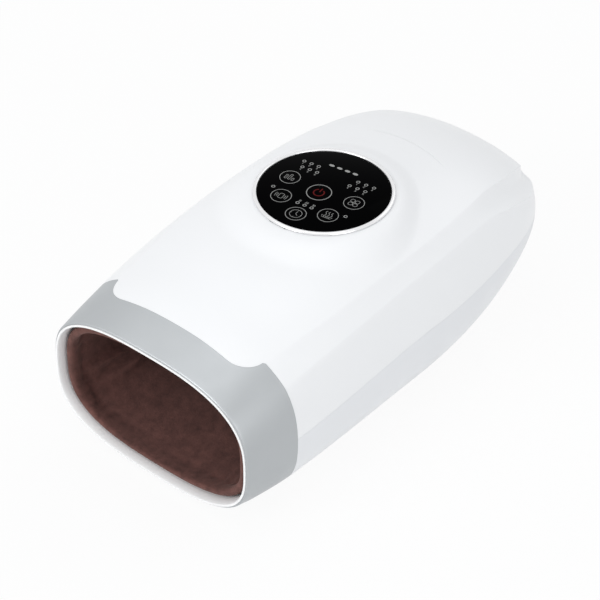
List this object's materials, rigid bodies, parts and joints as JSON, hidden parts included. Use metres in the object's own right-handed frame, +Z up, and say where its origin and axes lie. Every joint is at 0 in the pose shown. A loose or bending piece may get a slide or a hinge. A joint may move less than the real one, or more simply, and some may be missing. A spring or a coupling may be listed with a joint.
{
  "type": "hand massager",
  "caption": "Hooded hand massager: the hand goes into a lined pocket, where air cells squeeze it and a heater warms it, under a round touch panel.",
  "frame": {"origin": "on the floor under the feet, midway along and across the body", "axes": "+Z up; +Y from the hand opening toward the tail; +X to the right of someone whose hand goes in"},
  "size_m": [0.16, 0.3, 0.121],
  "materials": {
    "shell_white": "glossy white moulding",
    "base_white": "soft gloss white moulding",
    "collar_silver": "satin silver plating",
    "rim_pale": "smooth satin",
    "trim_silver": "bright edge",
    "panel_black": "polished smoked cover",
    "guide_white": "frosted",
    "board_green": "solder mask",
    "lining_brown": "brushed soft fabric",
    "cell_film": "coated film",
    "heater_film": "flexible film",
    "frame_black": "fine texture",
    "pump_grey": "smooth",
    "valve_white": "smooth",
    "steel": "drawn",
    "brass": "turned",
    "hose_clear": "soft tube",
    "battery_blue": "sleeved",
    "socket_black": "smooth",
    "foot_rubber": "matt"
  },
  "bodies": {
    "housing": {"upper_shell": "shell_white", "lower_shell": "base_white", "front_collar": "collar_silver", "mouth_rim": "rim_pale", "panel_ring": "trim_silver", "touch_panel": "panel_black", "light_guide": "guide_white", "panel_board": "board_green", "pocket_housing": "frame_black", "hand_lining": "lining_brown", "upper_air_cell": "cell_film", "lower_air_cell": "cell_film", "heating_pad": "heater_film", "mechanism_tray": "frame_black", "pump_head": "pump_grey", "pump_motor": "steel", "air_manifold": "pump_grey", "valve_lower": "valve_white", "valve_upper": "valve_white", "pump_hose": "hose_clear", "upper_hose": "hose_clear", "lower_hose": "hose_clear", "battery_cradle": "frame_black", "battery_cell_1": "battery_blue", "battery_cell_2": "battery_blue", "control_board": "board_green", "vibration_motor_left": "steel", "vibration_motor_right": "steel", "motor_strap_left": "steel", "motor_strap_right": "steel", "charge_socket": "socket_black", "panel_screw_1": "steel", "panel_screw_2": "steel", "panel_screw_3": "steel", "pocket_screw_1": "steel", "pocket_screw_2": "steel", "pocket_screw_3": "steel", "pocket_screw_4": "steel", "long_screw_1": "steel", "long_screw_2": "steel", "tray_screw_1": "steel", "tray_screw_2": "steel", "tray_screw_3": "steel", "tray_screw_4": "steel", "board_screw_1": "steel", "board_screw_2": "steel", "board_screw_3": "steel", "board_screw_4": "steel", "foot_1": "foot_rubber", "foot_2": "foot_rubber", "foot_3": "foot_rubber", "foot_4": "foot_rubber"},
    "pump_crank": {"pump_crank": "steel"},
    "vibration_weight_left": {"vibration_weight_left": "brass"},
    "vibration_weight_right": {"vibration_weight_right": "brass"},
    "plunger_lower": {"plunger_lower": "steel"},
    "plunger_upper": {"plunger_upper": "steel"}
  },
  "joints": [
    {"name": "pump_crank_spin", "type": "hinge", "parent": "housing", "child": "pump_crank", "pos_m": [-0.0123, 0.0795, 0.0463], "axis": [1, 0, 0], "continuous": true},
    {"name": "vibration_weight_left_spin", "type": "hinge", "parent": "housing", "child": "vibration_weight_left", "pos_m": [-0.0105, -0.06565, 0.09999], "axis": [1, 0, 0], "continuous": true},
    {"name": "vibration_weight_right_spin", "type": "hinge", "parent": "housing", "child": "vibration_weight_right", "pos_m": [0.0105, -0.06565, 0.09999], "axis": [1, 0, 0], "continuous": true},
    {"name": "plunger_lower_slide", "type": "slide", "parent": "housing", "child": "plunger_lower", "axis": [-1, 0, 0], "range_m": [0, 0.002], "stiffness_N_per_m": 150},
    {"name": "plunger_upper_slide", "type": "slide", "parent": "housing", "child": "plunger_upper", "axis": [-1, 0, 0], "range_m": [0, 0.002], "stiffness_N_per_m": 150}
  ]
}
